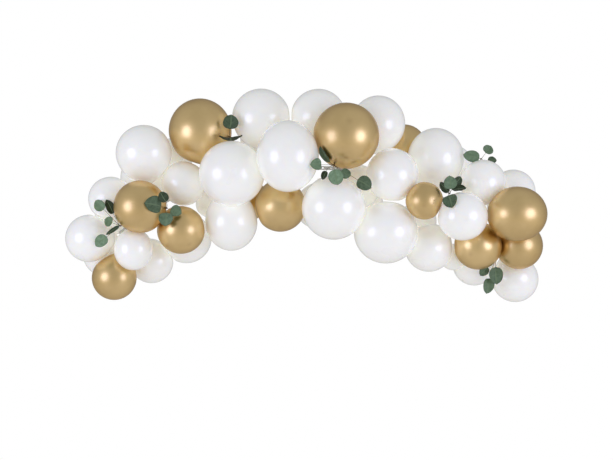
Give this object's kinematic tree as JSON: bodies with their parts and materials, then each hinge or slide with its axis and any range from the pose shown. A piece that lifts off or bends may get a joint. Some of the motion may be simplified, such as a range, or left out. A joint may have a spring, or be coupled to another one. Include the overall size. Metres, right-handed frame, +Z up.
{
  "type": "balloon garland",
  "caption": "Arched garland of pressed-together white and gold latex balloons with eucalyptus sprigs, tied along a flat plastic strip that hangs on a wall.",
  "frame": {"origin": "on the rear face of the hanging strip at its crown", "axes": "+Z up, +X to the right as seen from the front, +Y back towards the wall"},
  "size_m": [1.9961, 0.6427, 0.8954],
  "materials": {
    "white_latex": "satin pearl white",
    "gold_latex": "mirror gold",
    "eucalyptus": "matt grey green",
    "clear_strip": "milky clear"
  },
  "bodies": {
    "root": {"white_balloon_01": "white_latex", "white_balloon_02": "white_latex", "white_balloon_03": "white_latex", "white_balloon_04": "white_latex", "white_balloon_05": "white_latex", "gold_balloon_01": "gold_latex", "white_balloon_06": "white_latex", "white_balloon_07": "white_latex", "white_balloon_08": "white_latex", "white_balloon_09": "white_latex", "white_balloon_10": "white_latex", "white_balloon_11": "white_latex", "gold_balloon_02": "gold_latex", "white_balloon_12": "white_latex", "white_balloon_13": "white_latex", "white_balloon_14": "white_latex", "white_balloon_15": "white_latex", "white_balloon_16": "white_latex", "white_balloon_17": "white_latex", "white_balloon_18": "white_latex", "gold_balloon_03": "gold_latex", "gold_balloon_04": "gold_latex", "white_balloon_19": "white_latex", "gold_balloon_05": "gold_latex", "white_balloon_20": "white_latex", "white_balloon_21": "white_latex", "gold_balloon_06": "gold_latex", "gold_balloon_07": "gold_latex", "white_balloon_29": "white_latex", "white_balloon_22": "white_latex", "white_balloon_23": "white_latex", "gold_balloon_08": "gold_latex", "white_balloon_24": "white_latex", "gold_balloon_09": "gold_latex", "gold_balloon_10": "gold_latex", "white_balloon_25": "white_latex", "white_balloon_26": "white_latex", "white_balloon_27": "white_latex", "gold_balloon_11": "gold_latex", "white_balloon_28": "white_latex", "rear_white_balloon_1": "white_latex", "rear_white_balloon_2": "white_latex", "rear_gold_balloon_1": "gold_latex", "rear_white_balloon_3": "white_latex", "rear_white_balloon_4": "white_latex", "rear_white_balloon_9": "white_latex", "rear_white_balloon_5": "white_latex", "rear_white_balloon_6": "white_latex", "rear_white_balloon_7": "white_latex", "rear_white_balloon_8": "white_latex", "hanging_strip": "clear_strip", "eucalyptus_sprig_1": "eucalyptus", "eucalyptus_sprig_2": "eucalyptus", "eucalyptus_sprig_3": "eucalyptus", "eucalyptus_sprig_4": "eucalyptus", "eucalyptus_sprig_5": "eucalyptus", "eucalyptus_sprig_6": "eucalyptus", "eucalyptus_sprig_7": "eucalyptus"}
  },
  "joints": []
}
